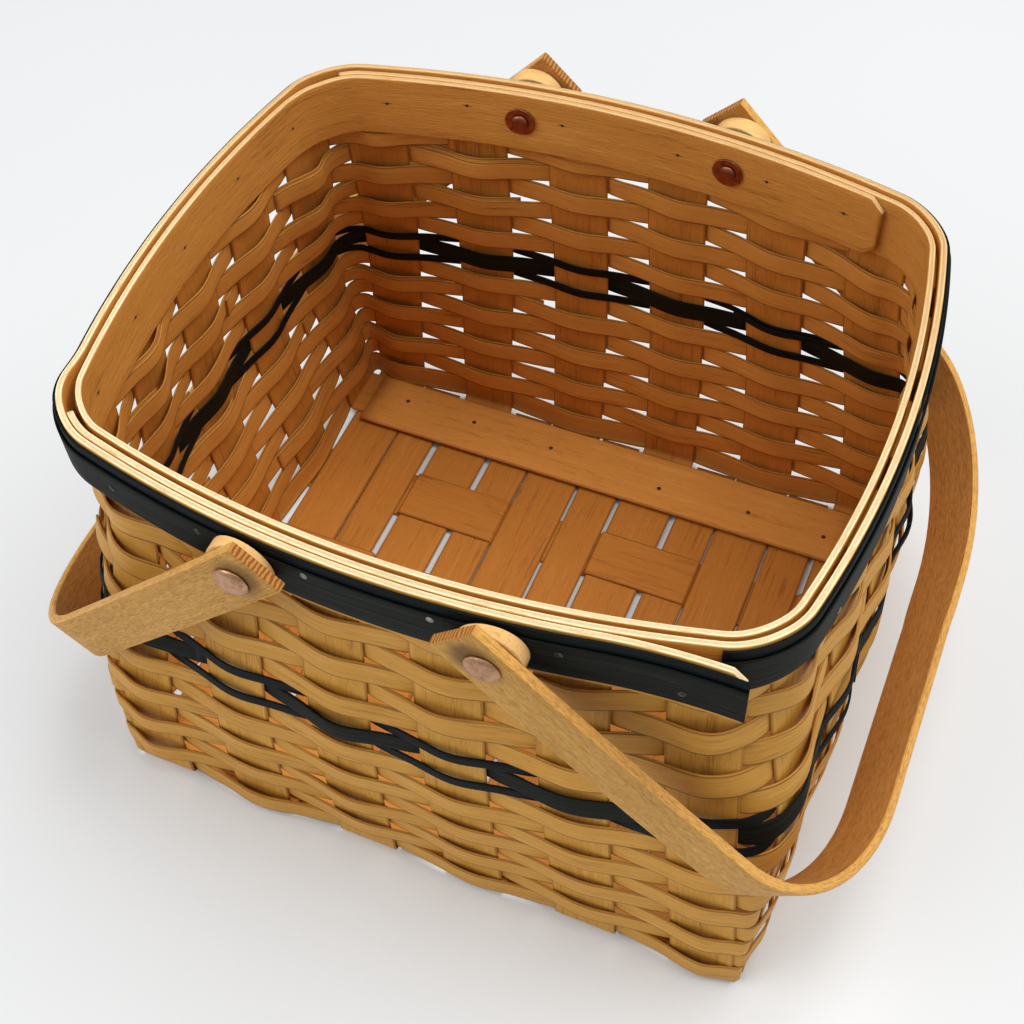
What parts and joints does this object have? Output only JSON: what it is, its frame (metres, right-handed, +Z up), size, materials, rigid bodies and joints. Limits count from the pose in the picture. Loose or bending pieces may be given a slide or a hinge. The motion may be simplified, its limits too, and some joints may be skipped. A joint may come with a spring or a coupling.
{
  "type": "pie basket",
  "caption": "Rectangular woven splint basket with a banded rim and swinging bent-wood bail handles, base-seated with an open top.",
  "frame": {"origin": "under the middle of the base, on the plane the basket stands on", "axes": "+X along the long walls, +Y from the front wall to the back wall, +Z up out of the open top"},
  "size_m": [0.3922, 0.2992, 0.2471],
  "materials": {
    "splint": "thin maple splint, satin stain",
    "weaver_natural": "thin maple splint, satin stain",
    "weaver_navy": "thin splint dyed navy",
    "weaver_green": "thin splint dyed dark green",
    "rim_wood": "bent maple band, satin stain",
    "navy_stain": "thin strip dyed navy",
    "green_stain": "thin strip dyed dark green",
    "handle_wood": "steam-bent maple, satin stain",
    "copper": "aged copper"
  },
  "bodies": {
    "basket": {"upright_long_1": "splint", "upright_long_2": "splint", "upright_long_3": "splint", "upright_long_4": "splint", "upright_long_5": "splint", "upright_long_6": "splint", "upright_cross_1": "splint", "upright_cross_2": "splint", "upright_cross_3": "splint", "upright_cross_4": "splint", "upright_cross_5": "splint", "base_filler_1": "splint", "base_filler_2": "splint", "base_filler_3": "splint", "base_filler_4": "splint", "base_filler_5": "splint", "base_board_back": "splint", "base_board_front": "splint", "weaver_01_natural": "weaver_natural", "weaver_02_natural": "weaver_natural", "weaver_03_natural": "weaver_natural", "weaver_04_natural": "weaver_natural", "weaver_05_natural": "weaver_natural", "weaver_06_natural": "weaver_natural", "weaver_07_navy": "weaver_navy", "weaver_08_green": "weaver_green", "weaver_09_navy": "weaver_navy", "weaver_10_natural": "weaver_natural", "weaver_11_natural": "weaver_natural", "weaver_12_natural": "weaver_natural", "weaver_13_natural": "weaver_natural", "weaver_14_natural": "weaver_natural", "weaver_15_natural": "weaver_natural", "weaver_16_natural": "weaver_natural", "weaver_17_natural": "weaver_natural", "rim_band_inner": "rim_wood", "rim_band_outer": "rim_wood", "trim_navy": "navy_stain", "trim_green": "green_stain", "spacer_left_front": "handle_wood", "spacer_left_back": "handle_wood", "spacer_right_front": "handle_wood", "spacer_right_back": "handle_wood", "rivet_left_front": "copper", "rivet_left_back": "copper", "rivet_right_front": "copper", "rivet_right_back": "copper", "washer_left_front": "copper", "washer_left_back": "copper", "washer_right_front": "copper", "washer_right_back": "copper"},
    "left_handle": {"handle_left": "handle_wood"},
    "right_handle": {"handle_right": "handle_wood"}
  },
  "joints": [
    {"name": "left_handle_pivot", "type": "hinge", "parent": "basket", "child": "left_handle", "pos_m": [-0.0488, 0, 0.227], "axis": [0, 1, 0], "range_deg": [0, 145]},
    {"name": "right_handle_pivot", "type": "hinge", "parent": "basket", "child": "right_handle", "pos_m": [0.0488, 0, 0.227], "axis": [0, -1, 0], "range_deg": [0, 145]}
  ]
}
